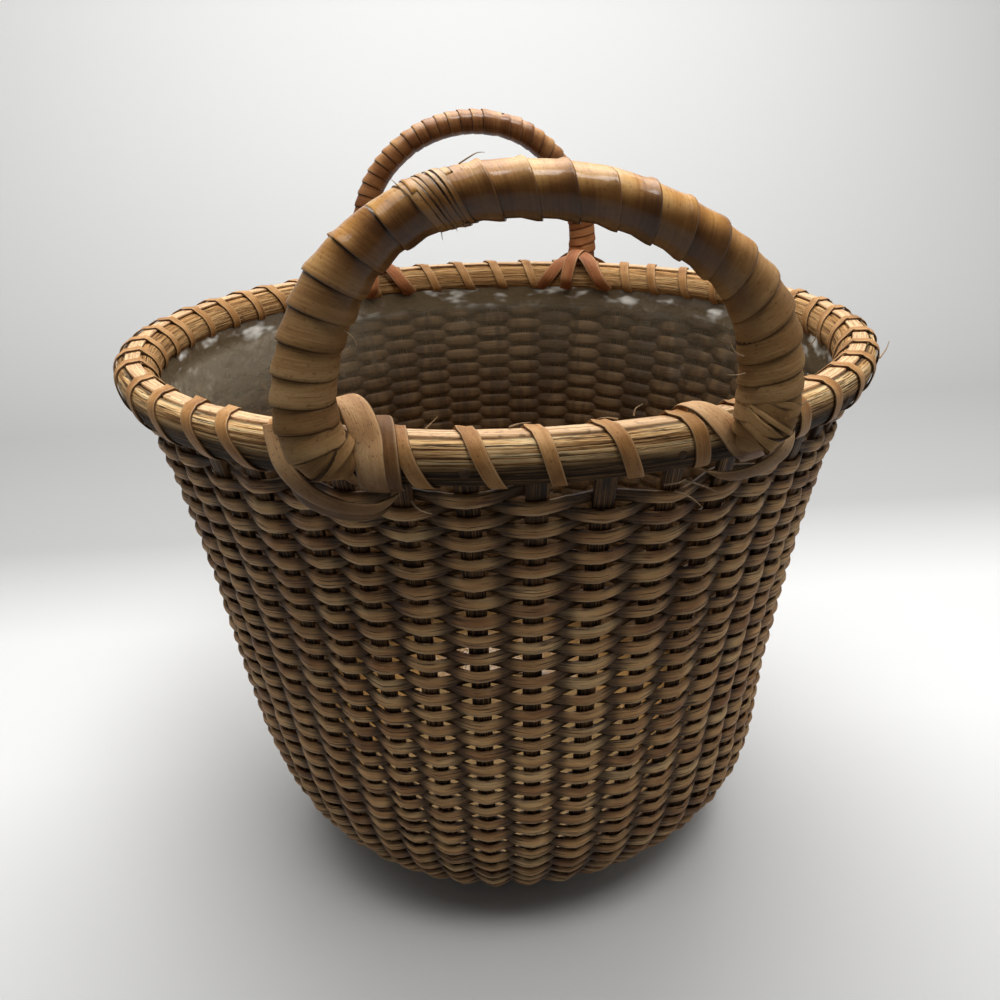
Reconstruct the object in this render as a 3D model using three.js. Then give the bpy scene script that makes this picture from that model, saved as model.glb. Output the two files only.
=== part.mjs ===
// A round basket of cane woven over flat staves, with a turned wooden bottom plate, a lashed rim of two
// split hoops and two wrapped hoop handles. Millimetres, +Z up, origin under the middle of the plate.
// The handles stand at the front (-Y) and at the back (+Y).
import * as THREE from "three";

// Driving sizes of the basket
const basketHeight = 210; // floor to the top of the rim cap
const hoopRadius = 128.7; // axis to the outermost point of the outer hoop
const clearance = 0.3; // gap kept between pieces that touch
const rimLean = THREE.MathUtils.degToRad(15); // how far the rim leans out from upright

// Bottom plate
const plateRadius = 62;
const plateThickness = 8;
const plateChamfer = 0.8;
const grooveDepth = 5.5; // groove in the edge that holds the feet of the staves
const grooveHeight = 4.5; // floor to the middle of the groove

// Staves and weave
const staveCount = 47; // an odd number, so that one weaver goes over and under by turns
const staveThickness = 2.4;
const staveFootWidth = 4.5;
const staveTipWidth = 6;
const mouthGap = 0.5; // from the plate's edge to where a stave turns up, and from its end to the groove
const weaveThickness = 1.7;
const weaveDrop = 3; // from the bottom of the outer hoop to the last row of the weave

// Rim
const outerHoopHeight = 13;
const outerHoopThickness = 4.2;
const innerHoopHeight = 11;
const innerHoopThickness = 4.2;
const capWidth = 4.6;
const capThickness = 1.2;
const capStand = 0.6; // how far the cap stands above the outer hoop
const capSeam = 0.5; // open seam between the cap and the outer hoop
const lashingWidth = 4;
const lashingThickness = 0.7;
const secondLashingTurns = 23; // turns of the left length; the right length takes the others

// Handles
const handleSpan = 120; // outside to outside of the wrapped legs
const frontHandleRise = 60; // rim cap to the top of the wrapped handle
const backHandleRise = 70;
const poleRadius = 5.3;
const wrapThickness = 0.85;
const wrapSeam = 0.6; // least gap between two turns, along the middle of the pole
const wrapTurns = 24;

// Lining of clear film
const filmThickness = 0.6;
const filmStandOff = 2.4; // from the inner face of the staves to the film

// Counts of faces
const ringSegments = 64;
const plateSegments = 48;
const filmSegments = 36;
const wallSpans = 9;
const hoopArcSteps = 6;
const turnSteps = 8;
const poleSides = 10;
const poleSteps = 24;
const archSteps = 12;

// Where the middle of the staves runs between the plate and the weave's last row, as shares of the
// radius and the height between those two ends
const wallShares = [
  [0.197, 0.048],
  [0.416, 0.122],
  [0.56, 0.211],
  [0.66, 0.342],
  [0.732, 0.51],
  [0.801, 0.681],
  [0.889, 0.852],
];

// Finishes
const finishes = {
  plate: { color: 0x8a6237, roughness: 0.6, metalness: 0 },
  stave: { color: 0x4a3826, roughness: 0.8, metalness: 0 },
  weave: { color: 0x7b6450, roughness: 0.7, metalness: 0 },
  hoop: { color: 0xa98254, roughness: 0.65, metalness: 0 },
  cap: { color: 0xc79a6a, roughness: 0.6, metalness: 0 },
  lashing: { color: 0xb98d5e, roughness: 0.5, metalness: 0 },
  pole: { color: 0xa8844f, roughness: 0.7, metalness: 0 },
  wrap: { color: 0xb0824a, roughness: 0.4, metalness: 0 },
  film: { color: 0xdcdcd8, roughness: 0.2, metalness: 0, transparent: true, opacity: 0.35 },
};

const basket = new THREE.Group();

function addPiece(name, geometry, finish, parent = basket) {
  const mesh = new THREE.Mesh(geometry, new THREE.MeshStandardMaterial(finishes[finish]));
  mesh.name = name;
  parent.add(mesh);
  return mesh;
}

// A profile of [radius, height] points turned about the vertical axis
function turned(profile, segments) {
  return new THREE.LatheGeometry([...profile, profile[0]], segments).rotateX(Math.PI / 2);
}

// A closed skin over sections of four corners each, with a flat end at both ends
function skinned(sections) {
  const corners = sections[0].length;
  const positions = sections.flat().flatMap((corner) => corner.toArray());
  const faces = [];
  for (let i = 0; i + 1 < sections.length; i++) {
    for (let j = 0; j < corners; j++) {
      const next = (j + 1) % corners;
      const [a, b] = [i * corners + j, i * corners + next];
      faces.push(a, b, b + corners, a, b + corners, a + corners);
    }
  }
  const last = (sections.length - 1) * corners;
  for (let j = 1; j + 1 < corners; j++) {
    faces.push(0, j + 1, j);
    faces.push(last, last + j, last + j + 1);
  }
  const geometry = new THREE.BufferGeometry();
  geometry.setAttribute("position", new THREE.Float32BufferAttribute(positions, 3));
  geometry.setIndex(faces);
  return geometry;
}

// The rim's own frame in the plane of a section: along the staves and square to them, outwards
const rimUp = new THREE.Vector2(Math.sin(rimLean), Math.cos(rimLean));
const rimOut = new THREE.Vector2(Math.cos(rimLean), -Math.sin(rimLean));
const hoopSeat = staveThickness / 2 + clearance; // middle of the staves to the flat face of a hoop

// How far half an ellipse that leans with the rim reaches sideways or upwards from its middle
function leaningReach(across, along) {
  return Math.hypot(across * Math.cos(rimLean), along * Math.sin(rimLean));
}

const outerReach =
  hoopSeat * rimOut.x + leaningReach(outerHoopThickness, outerHoopHeight / 2);
const outerHoopTop = (outerHoopHeight / 2) * rimUp.y + hoopSeat * rimOut.y;
const rimCentre = new THREE.Vector2(hoopRadius - outerReach, basketHeight - capStand - outerHoopTop);

function rimPoint(out, up) {
  return rimCentre.clone().addScaledVector(rimOut, out).addScaledVector(rimUp, up);
}

// The middle line of a stave, from its foot in the plate's groove to its tip under the cap
const tipHeight = basketHeight - capThickness - clearance;
const tipUp = (tipHeight - rimCentre.y) / rimUp.y - (staveThickness / 2) * Math.tan(rimLean);
const weaveTopUp = -outerHoopHeight / 2 - weaveDrop;
const staveFoot = new THREE.Vector2(plateRadius - grooveDepth + mouthGap, grooveHeight);
const staveMouth = new THREE.Vector2(plateRadius + mouthGap, grooveHeight);
const weaveTop = rimPoint(0, weaveTopUp);
const wallCurve = new THREE.SplineCurve([
  staveMouth,
  ...wallShares.map(
    ([across, up]) =>
      new THREE.Vector2(
        THREE.MathUtils.lerp(staveMouth.x, weaveTop.x, across),
        THREE.MathUtils.lerp(staveMouth.y, weaveTop.y, up),
      ),
  ),
  weaveTop,
]);
const wallStations = wallCurve.getPoints(wallSpans);
const staveStations = [staveFoot, ...wallStations, rimPoint(0, tipUp)];

// Moves each point of a line square to it, outwards for a positive shift
function shifted(line, shift) {
  return line.map((point, i) => {
    const before = line[Math.max(i - 1, 0)];
    const after = line[Math.min(i + 1, line.length - 1)];
    const first = point.clone().sub(i > 0 ? before : point);
    const second = after.clone().sub(i + 1 < line.length ? point : after);
    const into = (i > 0 ? first : second).normalize();
    const along = (i + 1 < line.length ? second : first).normalize();
    const mitre = into.clone().add(along).normalize();
    const reach = shift / mitre.dot(along);
    return new THREE.Vector2(point.x + mitre.y * reach, point.y - mitre.x * reach);
  });
}

// Bottom plate: a turned disc with a groove round its edge
const grooveHalf = staveThickness / 2 + clearance;
const plate = [
  [0, 0],
  [plateRadius - plateChamfer, 0],
  [plateRadius, plateChamfer],
  [plateRadius, grooveHeight - grooveHalf],
  [plateRadius - grooveDepth, grooveHeight - grooveHalf],
  [plateRadius - grooveDepth, grooveHeight + grooveHalf],
  [plateRadius, grooveHeight + grooveHalf],
  [plateRadius, plateThickness - plateChamfer],
  [plateRadius - plateChamfer, plateThickness],
  [0, plateThickness],
].map(([radius, height]) => new THREE.Vector2(radius, height));
addPiece("base_plate", turned(plate, plateSegments), "plate");

// Staves: flat strips that taper towards the foot, one for each place round the plate
function staveShape() {
  const outside = shifted(staveStations, staveThickness / 2);
  const inside = shifted(staveStations, -staveThickness / 2);
  const sections = staveStations.map((_, i) => {
    const share = i / (staveStations.length - 1);
    const half = THREE.MathUtils.lerp(staveFootWidth, staveTipWidth, share) / 2;
    return [
      new THREE.Vector3(inside[i].x, -half, inside[i].y),
      new THREE.Vector3(outside[i].x, -half, outside[i].y),
      new THREE.Vector3(outside[i].x, half, outside[i].y),
      new THREE.Vector3(inside[i].x, half, inside[i].y),
    ];
  });
  return skinned(sections);
}
const staveRing = new THREE.Group();
basket.add(staveRing);
const stavePitch = (2 * Math.PI) / staveCount;
const frontAngle = -Math.PI / 2;
const staveGeometry = staveShape();
for (let i = 0; i < staveCount; i++) {
  const name = "stave_" + String(i + 1).padStart(2, "0");
  const stave = addPiece(name, staveGeometry, "stave", staveRing);
  stave.rotation.z = frontAngle + i * stavePitch;
}

// Woven wall: the closed solid of the weave's outer shape, round the outside of the staves
const weaveInside = staveThickness / 2 + clearance;
const weaveOutside = shifted(staveStations, weaveInside + weaveThickness).slice(1, -1);
const weaveLining = shifted(staveStations, weaveInside).slice(1, -1);
addPiece("woven_wall", turned([...weaveOutside, ...weaveLining.reverse()], ringSegments), "weave");

// Hoops: half round, with their flat faces against the staves
function hoopSection(seat, thickness, height, middle) {
  const points = [];
  for (let i = 0; i <= hoopArcSteps; i++) {
    const angle = (i / hoopArcSteps - 0.5) * Math.PI;
    const out = seat + thickness * Math.cos(angle);
    points.push(rimPoint(out, middle + (height / 2) * Math.sin(angle)));
  }
  return points;
}
const innerHoopMiddle =
  (tipHeight -
    rimCentre.y -
    hoopSeat * Math.sin(rimLean) -
    Math.hypot(innerHoopThickness * Math.sin(rimLean), (innerHoopHeight / 2) * rimUp.y)) /
  rimUp.y;
const outerHoop = hoopSection(hoopSeat, outerHoopThickness, outerHoopHeight, 0);
const innerHoop = hoopSection(-hoopSeat, -innerHoopThickness, innerHoopHeight, innerHoopMiddle);
addPiece("outer_hoop", turned(outerHoop, ringSegments), "hoop");
addPiece("inner_hoop", turned(innerHoop.reverse(), ringSegments), "hoop");

// Rim cap: a flat strip over the inner hoop and the tips of the staves
const capOuter = rimPoint(hoopSeat, outerHoopHeight / 2).x - capSeam;
const cap = [
  [capOuter - capWidth, basketHeight - capThickness],
  [capOuter, basketHeight - capThickness],
  [capOuter, basketHeight],
  [capOuter - capWidth, basketHeight],
].map(([radius, height]) => new THREE.Vector2(radius, height));
addPiece("rim_cap", turned(cap, ringSegments), "cap");

// The outline of a strand that is pulled tight round the given points: one straight run on each side
function tightLoop(points, standOff) {
  const runs = [];
  for (let i = 0; i < turnSteps; i++) {
    const angle = (2 * Math.PI * i) / turnSteps;
    const normal = new THREE.Vector2(Math.cos(angle), Math.sin(angle));
    const reach = Math.max(...points.map((point) => point.dot(normal))) + standOff;
    runs.push({ normal, reach });
  }
  return runs.map((run, i) => {
    const next = runs[(i + 1) % turnSteps];
    const cross = run.normal.cross(next.normal);
    return new THREE.Vector2(
      (run.reach * next.normal.y - next.reach * run.normal.y) / cross,
      (next.reach * run.normal.x - run.reach * next.normal.x) / cross,
    );
  });
}

// A flat strand wound in turns: place(turns, side, layer) gives a point on its edge -1 or 1 and its
// layer 0, next to what it goes round, or 1. The least gap between its turns is measured and printed.
function wound(name, first, last, place) {
  const steps = Math.round((last - first) * turnSteps);
  const turnAt = (i) => first + i / turnSteps;
  const sections = [];
  let leastGap = Infinity;
  for (let i = 0; i <= steps; i++) {
    const turn = turnAt(i);
    sections.push([place(turn, -1, 0), place(turn, 1, 0), place(turn, 1, 1), place(turn, -1, 1)]);
    if (i + turnSteps > steps) continue;
    const neighbour = turnAt(i + turnSteps);
    leastGap = Math.min(leastGap, place(turn, 1, 0).distanceTo(place(neighbour, -1, 0)));
  }
  console.log(name + ": least gap between turns " + leastGap.toFixed(2) + " mm");
  return skinned(sections);
}

// Rim lashing: flat cane round both hoops and the cap, through the wall between two staves each turn
const rimOutline = [...outerHoop, ...innerHoop, ...cap];
const lashingLoops = [clearance, clearance + lashingThickness].map((standOff) =>
  tightLoop(rimOutline, standOff),
);
const lashingReach = Math.max(...lashingLoops[1].map((point) => point.x));
const bottomRun = (3 / 4) * turnSteps; // the straight run under the hoops, where the lashing crosses the wall
function lashingPoint(turn, side, layer) {
  const index = bottomRun - 1 - Math.round(turn * turnSteps);
  const point = lashingLoops[layer][THREE.MathUtils.euclideanModulo(index, turnSteps)];
  const turnsFromStave = turn + 0.5 / turnSteps - 0.5;
  const edge = (side * lashingWidth) / 2 / hoopRadius;
  const angle = frontAngle + turnsFromStave * stavePitch + edge;
  return new THREE.Vector3(point.x * Math.cos(angle), point.x * Math.sin(angle), point.y);
}
const firstLashingTurns = staveCount - secondLashingTurns;
const lashingCut = 1 / turnSteps; // what each length stops short of its neighbour, in turns
addPiece(
  "rim_lashing_right",
  wound("rim_lashing_right", 0, firstLashingTurns - lashingCut, lashingPoint),
  "lashing",
);
addPiece(
  "rim_lashing_left",
  wound("rim_lashing_left", firstLashingTurns, staveCount - lashingCut, lashingPoint),
  "lashing",
);

// Handles: a bent rattan pole whose legs stand on the outside of the lashed rim, wrapped with cane
const wrapInside = (poleRadius + clearance) / Math.cos(Math.PI / turnSteps);
const gripRadius = wrapInside + wrapThickness;
const legOffset = handleSpan / 2 - gripRadius;
const legDistance = lashingReach + clearance + gripRadius;
const handlePlane = Math.sqrt(legDistance ** 2 - legOffset ** 2);
const footHeight = rimPoint(hoopSeat, 0).y; // the feet stand against the middle of the outer hoop

function handleLine(rise) {
  const top = rise - gripRadius;
  const points = [new THREE.Vector3(-legOffset, 0, footHeight)];
  points.push(new THREE.Vector3(-legOffset, 0, (footHeight + basketHeight) / 2));
  for (let i = 0; i <= archSteps; i++) {
    const angle = Math.PI * (1 - i / archSteps);
    const [across, up] = [legOffset * Math.cos(angle), top * Math.sin(angle)];
    points.push(new THREE.Vector3(across, 0, basketHeight + up));
  }
  points.push(new THREE.Vector3(legOffset, 0, (footHeight + basketHeight) / 2));
  points.push(new THREE.Vector3(legOffset, 0, footHeight));
  return new THREE.CatmullRomCurve3(points);
}

function poleShape(line) {
  const round = new THREE.Shape();
  round.absarc(0, 0, poleRadius, 0, 2 * Math.PI);
  return new THREE.ExtrudeGeometry(round, {
    extrudePath: line,
    steps: poleSteps,
    curveSegments: poleSides / 2,
  });
}

function wrapShape(name, line) {
  const length = line.getLength();
  const pitch = length / (wrapTurns + 1);
  const half = (pitch - wrapSeam) / 2;
  const squareToPlane = new THREE.Vector3(0, 1, 0);
  return wound(name, 0, wrapTurns, (turn, side, layer) => {
    const along = THREE.MathUtils.clamp((turn * pitch + pitch / 2 + side * half) / length, 0, 1);
    const outwards = new THREE.Vector3().crossVectors(line.getTangentAt(along), squareToPlane);
    const angle = -2 * Math.PI * turn;
    const radius = wrapInside + layer * wrapThickness;
    return line
      .getPointAt(along)
      .addScaledVector(outwards, radius * Math.cos(angle))
      .addScaledVector(squareToPlane, radius * Math.sin(angle));
  });
}

for (const [place, rise, turn] of [
  ["front", frontHandleRise, 0],
  ["back", backHandleRise, Math.PI],
]) {
  const handle = new THREE.Group();
  handle.rotation.z = turn;
  basket.add(handle);
  const line = handleLine(rise);
  const core = addPiece("handle_" + place, poleShape(line), "pole", handle);
  const wrap = addPiece(
    "handle_wrap_" + place,
    wrapShape("handle_wrap_" + place, line),
    "wrap",
    handle,
  );
  core.position.y = -handlePlane;
  wrap.position.y = -handlePlane;
}

// Lining: a bag of clear film that hangs from under the inner hoop and lies on the plate
const filmFloor = plateThickness + clearance;
const filmOutside = shifted(staveStations, -(staveThickness / 2 + filmStandOff)).slice(2, -1);
const filmInside = shifted(staveStations, -(staveThickness / 2 + filmStandOff + filmThickness));
const film = [
  new THREE.Vector2(0, filmFloor),
  new THREE.Vector2(plateRadius - plateChamfer, filmFloor),
  ...filmOutside,
  ...filmInside.slice(2, -1).reverse(),
  new THREE.Vector2(plateRadius - plateChamfer - filmThickness, filmFloor + filmThickness),
  new THREE.Vector2(0, filmFloor + filmThickness),
];
addPiece("liner", turned(film, filmSegments), "film");

export default basket;
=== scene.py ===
import math

import bpy
import numpy as np
from mathutils import Matrix, Vector


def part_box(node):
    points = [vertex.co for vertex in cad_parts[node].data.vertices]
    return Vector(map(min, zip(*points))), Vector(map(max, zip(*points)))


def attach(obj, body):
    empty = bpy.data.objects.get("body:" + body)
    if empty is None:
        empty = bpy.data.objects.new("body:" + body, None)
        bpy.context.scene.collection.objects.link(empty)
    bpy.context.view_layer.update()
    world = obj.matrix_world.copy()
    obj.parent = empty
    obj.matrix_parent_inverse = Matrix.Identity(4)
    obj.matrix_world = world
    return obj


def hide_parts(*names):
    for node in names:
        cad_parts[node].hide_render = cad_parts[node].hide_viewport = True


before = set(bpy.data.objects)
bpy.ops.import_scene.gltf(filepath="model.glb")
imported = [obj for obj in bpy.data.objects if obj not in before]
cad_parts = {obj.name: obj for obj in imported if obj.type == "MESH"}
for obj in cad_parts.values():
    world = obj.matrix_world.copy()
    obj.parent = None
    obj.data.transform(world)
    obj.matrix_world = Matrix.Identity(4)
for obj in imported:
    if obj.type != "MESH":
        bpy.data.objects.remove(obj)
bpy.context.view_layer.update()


# Bottom plate. A disc of pale wood, turned on a lathe, with a groove in its edge that takes the feet of the
# staves. It is made first, and the basket is woven up from its edge. Only the gaps of the weave show it.
class Amount:
    """A number, vector or colour that changes over a surface; sums on it are written as usual."""

    def __init__(self, finish, socket):
        self.finish, self.socket = finish, socket

    def reckoned(self, operation, first, second):
        return self.finish.node("ShaderNodeMath", {"operation": operation}, {0: first, 1: second})

    def __add__(self, other):
        return self.reckoned("ADD", self, other)

    def __sub__(self, other):
        return self.reckoned("SUBTRACT", self, other)

    def __rsub__(self, other):
        return self.reckoned("SUBTRACT", other, self)

    def __mul__(self, other):
        return self.reckoned("MULTIPLY", self, other)

    __radd__, __rmul__ = __add__, __mul__

    def size(self):
        return self.reckoned("ABSOLUTE", self, 0)

    def part(self, which):
        """One part of a vector: 0, 1 or 2."""
        return self.finish.node("ShaderNodeSeparateXYZ", {}, {0: self}, which)

    def rising(self, low, high):
        """0 where it is under low, 1 over high, smooth between; low may be the larger."""
        ends = {"Value": self, 1: low, 2: high, 3: 0.0, 4: 1.0}
        return self.finish.node("ShaderNodeMapRange", {"interpolation_type": "SMOOTHSTEP"}, ends)

    def toned(self, *colours):
        """A ramp through the colours, which are written as they look, evenly spaced from 0 to 1."""
        stops = list(zip(np.linspace(0, 1, len(colours)), map(seen, colours)))
        return self.finish.node("ShaderNodeValToRGB", {"stops": stops}, {"Fac": self})

    def dyed(self, colour, share):
        """This colour turned into another by a share."""
        colour = seen(colour) if isinstance(colour, tuple) else colour
        return self.finish.node("ShaderNodeMix", {"data_type": "RGBA"}, {0: share, 6: self, 7: colour}, 2)


class Finish:
    """The nodes of one material, or of the world."""

    def __init__(self, name, kind=bpy.data.materials):
        self.owner = kind.new(name)
        self.owner.use_nodes = True
        self.tree = self.owner.node_tree
        self.tree.nodes.clear()

    def node(self, kind, settings, sockets, out=0):
        made = self.tree.nodes.new(kind)
        for name, value in settings.items():
            if name == "stops":
                while len(made.color_ramp.elements) < len(value):
                    made.color_ramp.elements.new(1)
                for stop, (place, colour) in zip(made.color_ramp.elements, value):
                    stop.position, stop.color = place, colour
            else:
                setattr(made, name, value)
        for name, value in sockets.items():
            if isinstance(value, Amount):
                self.tree.links.new(value.socket, made.inputs[name])
            else:
                made.inputs[name].default_value = value
        return Amount(self, made.outputs[out] if made.outputs else None)

    def places(self):
        """Where a point is, in metres."""
        return self.node("ShaderNodeTexCoord", {}, {}, 3)

    def stored(self, name, out=2):
        """The number that keep() has stored at the points, or with out 1 the vector."""
        return self.node("ShaderNodeAttribute", {"attribute_name": name}, {}, out)

    def form(self, part):
        """One part of the form that cane() stores."""
        return self.stored("form", 1).part(part)

    def noise(self, place, factors, detail=3.0, rough=0.55):
        """Noise, with how fast it changes along each part of place."""
        place = self.node("ShaderNodeVectorMath", {"operation": "MULTIPLY"}, {0: place, 1: factors})
        sockets = {"Vector": place, "Scale": 1.0, "Detail": detail, "Roughness": rough}
        return self.node("ShaderNodeTexNoise", {}, sockets)

    def grain(self, factors, detail=3.0, rough=0.55):
        """Noise on a strip, with how fast it changes along it, across it and from strip to strip."""
        return self.noise(self.stored("cut", 1), factors, detail, rough)

    def surface(self, colour, rough, height=None, depth=0.0, **even):
        """The shader. height raises the surface by depth mm, and even are uniform values such as IOR."""
        sockets = {"Base Color": colour, "Roughness": rough}
        if height is not None:
            bump = {"Strength": 1.0, "Distance": depth * mm, "Height": height}
            sockets["Normal"] = self.node("ShaderNodeBump", {}, bump)
        sockets.update({name.replace("_", " "): value for name, value in even.items()})
        shader = self.node("ShaderNodeBsdfPrincipled", {}, sockets)
        self.node("ShaderNodeOutputMaterial", {}, {"Surface": shader})
        return self.owner


def seen(colour):
    """A colour as it looks, its parts 0 to 255, as the light that it sends back."""
    return (*(((part / 255 + 0.055) / 1.055) ** 2.4 for part in colour), 1.0)


mm = 0.001
plate_wood = Finish("plate_wood")
at_plate = plate_wood.places()
boards = plate_wood.noise(at_plate, (90, 900, 90), 4.0)
rings = {"wave_type": "RINGS", "rings_direction": "Z"}
ring_sockets = {"Vector": at_plate, "Scale": 160.0, "Distortion": 0.4, "Detail": 1.0}
turning = plate_wood.node("ShaderNodeTexWave", rings, ring_sockets)
plate_finish = plate_wood.surface(
    boards.toned((136, 106, 62), (178, 144, 92), (206, 174, 120)),
    0.5 + 0.15 * boards,
    turning + 0.5 * boards,
    0.08,
)
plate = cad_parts["base_plate"]
plate.data.materials.clear()
plate.data.materials.append(plate_finish)


# Staves. 47 flat strips split from rattan, dark with age, their feet pushed into the groove of the plate.
# Bent up over a mould, they make the ribs that the weave holds; their tips end between the two rim hoops.
stave_count = 47
stave_thickness = 2.4
stave_foot_width, stave_tip_width = 4.5, 6.0
basket_height = 210.0
plate_radius, groove_depth, groove_height, mouth_gap = 62.0, 5.5, 4.5, 0.5
hoop_radius, clearance, rim_lean = 128.7, 0.3, math.radians(15)
outer_hoop_height, outer_hoop_thickness = 13.0, 4.2
cap_thickness, cap_stand = 1.2, 0.6
weave_drop = 3.0
wall_shares = [
    (0.197, 0.048), (0.416, 0.122), (0.56, 0.211), (0.66, 0.342),
    (0.732, 0.51), (0.801, 0.681), (0.889, 0.852),
]
# where the real wall swells out beside its even round, low on the right
swell, swell_height, swell_reach = 5.0, 41.0, 27.0
swell_way = math.radians(-20)

rim_up = np.array([math.sin(rim_lean), math.cos(rim_lean)])
rim_out = np.array([math.cos(rim_lean), -math.sin(rim_lean)])
hoop_seat = stave_thickness / 2 + clearance
outer_reach = hoop_seat * rim_out[0] + math.hypot(
    outer_hoop_thickness * rim_up[1], outer_hoop_height / 2 * rim_up[0]
)
rim_centre = np.array([
    hoop_radius - outer_reach,
    basket_height - cap_stand - outer_hoop_height / 2 * rim_up[1] - hoop_seat * rim_out[1],
])


def rim_point(out, up):
    """A place in the rim's section, out from the staves and up along them: (radius, height)."""
    return rim_centre + np.multiply.outer(out, rim_out) + np.multiply.outer(up, rim_up)


def smooth_line(knots, steps):
    """Points on the smooth line through the knots, so many steps to each stretch."""
    knots = np.asarray(knots, float)
    held_and_shaded = np.concatenate([knots[:1], knots, knots[-1:]])
    t = (np.arange(steps) / steps)[:, None]
    parts = [
        0.5 * (2 * b + (c - a) * t + (2 * a - 5 * b + 4 * c - d) * t**2 + (3 * b - a - 3 * c + d) * t**3)
        for a, b, c, d in zip(held_and_shaded, held_and_shaded[1:], held_and_shaded[2:], held_and_shaded[3:])
    ]
    return np.concatenate([*parts, knots[-1:]])


def run_of(line):
    """How far along the line each of its points is."""
    return np.concatenate([[0], np.cumsum(np.linalg.norm(np.diff(line, axis=0), axis=1))])


def spread(at, places, rows):
    """Rows of numbers, one row for each of the places, as they are at others."""
    return np.stack([np.interp(at, places, part) for part in rows.T], axis=-1)


def taken(line, distances):
    """The places on a line at those distances along it."""
    return spread(distances, run_of(line), line)


def unit(vectors):
    return vectors / np.linalg.norm(vectors, axis=-1, keepdims=True)


def square_to(heading, face):
    """The directions nearest to face that are square to heading."""
    return unit(face - (face * heading).sum(-1, keepdims=True) * heading)


def outwards(ways):
    """Directions (out, up) turned by a right angle, from up to out."""
    return np.stack([ways[..., 1], -ways[..., 0]], axis=-1)


def circle(steps, first=0.0):
    """Even angles all the way round."""
    return (np.arange(steps) + first) / steps * 2 * math.pi


def rounded(turn, squareness):
    """Both parts of the points of a circle at those angles; squareness 2 leaves it round."""
    return [np.sign(part) * np.abs(part) ** (2 / squareness) for part in (np.cos(turn), np.sin(turn))]


def oval(width, thickness, corners, squareness):
    """Flat oval sections, one for each width and thickness: points (across, out)."""
    width, thickness = np.broadcast_arrays(np.atleast_1d(width), thickness)
    across, out = rounded(circle(corners, 0.5), squareness)
    return np.stack([np.outer(width / 2, across), np.outer(thickness / 2, out)], axis=-1)


def placed(name, data):
    """An object made of that data, in the scene."""
    made = bpy.data.objects.new(name, data)
    bpy.context.scene.collection.objects.link(made)
    return made


def smooth_piece(name, points, faces, finish):
    """A smooth mesh through points in mm."""
    mesh = bpy.data.meshes.new(name)
    mesh.from_pydata((np.reshape(points, (-1, 3)) * mm).tolist(), [], faces)
    mesh.shade_smooth()
    mesh.materials.append(finish)
    return placed(name, mesh)


def keep(piece, name, values):
    """Store a number, or a vector, at each point of a piece, where its finish reads it."""
    kind, field = ("FLOAT_VECTOR", "vector") if values.ndim > 1 else ("FLOAT", "value")
    stored = piece.data.attributes.new(name, kind, "POINT")
    stored.data.foreach_set(field, values.reshape(-1).astype(np.float32))


def cane(name, spine, face, section, finish, seed=0.0, closed=False, bare=None):
    """A strip laid along the spine in mm, its skin side towards face. Every point keeps what its finish
    needs: cut is how far along, how far across and a number of its own; form is its shares of the section's
    half width and half height, and bare, or else its share of the length."""
    if closed:
        heading = unit(np.roll(spine, -1, axis=0) - np.roll(spine, 1, axis=0))
    else:
        heading = unit(np.gradient(spine, axis=0))
    face = square_to(heading, face)
    side = np.cross(face, heading)
    section = np.broadcast_to(section, (len(spine), *section.shape[1:]))
    points = spine[:, None] + side[:, None] * section[..., :1] + face[:, None] * section[..., 1:]
    stations, corners = section.shape[:2]
    ring = np.arange(corners)
    first = (np.arange(stations if closed else stations - 1) * corners)[:, None]
    after = (first + corners) % (stations * corners)
    turned = (ring + 1) % corners
    quads = np.stack([first + ring, first + turned, after + turned, after + ring], axis=-1)
    faces = quads.reshape(-1, 4).tolist()
    if not closed:
        faces += [ring[::-1].tolist(), ((stations - 1) * corners + ring).tolist()]
    piece = smooth_piece(name, points, faces, finish)
    run = np.broadcast_to(run_of(spine)[:, None], (stations, corners))
    keep(piece, "cut", np.stack([run, section[..., 0], np.full_like(run, seed)], axis=-1))
    most = np.abs(section).max(axis=1, keepdims=True)
    last = run / run.max() if bare is None else bare
    keep(piece, "form", np.concatenate([section / most, last[..., None]], axis=-1))
    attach(piece, "root")
    return piece


def faced_round(angles, ways):
    """Directions at those angles round the basket, from directions (out, up)."""
    out, up = np.moveaxis(np.asarray(ways, float), -1, 0)
    return np.stack([out * np.cos(angles), out * np.sin(angles), up + 0 * angles], axis=-1)


def round_at(angles, places):
    """Points at those angles round the basket, from places (radius, height), with the wall's own swelling."""
    radius, height = np.moveaxis(np.asarray(places, float), -1, 0)
    beside = np.clip(np.cos(angles - swell_way), 0, 1) ** 3
    high = np.exp(-(((height - swell_height) / swell_reach) ** 2)) * np.clip(height / 12 - 0.4, 0, 1)
    return faced_round(angles, np.stack([radius + swell * beside * high, height + 0 * angles], axis=-1))


stave_wood = Finish("stave_wood")
ribs = stave_wood.grain((0.03, 2.6, 1), 3.0, 0.65)
grime = stave_wood.grain((0.08, 0.3, 1))
stave_finish = stave_wood.surface(
    (ribs * 0.75 + grime * 0.35).rising(0.36, 0.72).toned(
        (22, 15, 10), (50, 35, 23), (94, 68, 43), (156, 120, 82)
    ),
    0.62,
    ribs,
    0.3,
    Specular_IOR_Level=0.2,
)

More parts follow.
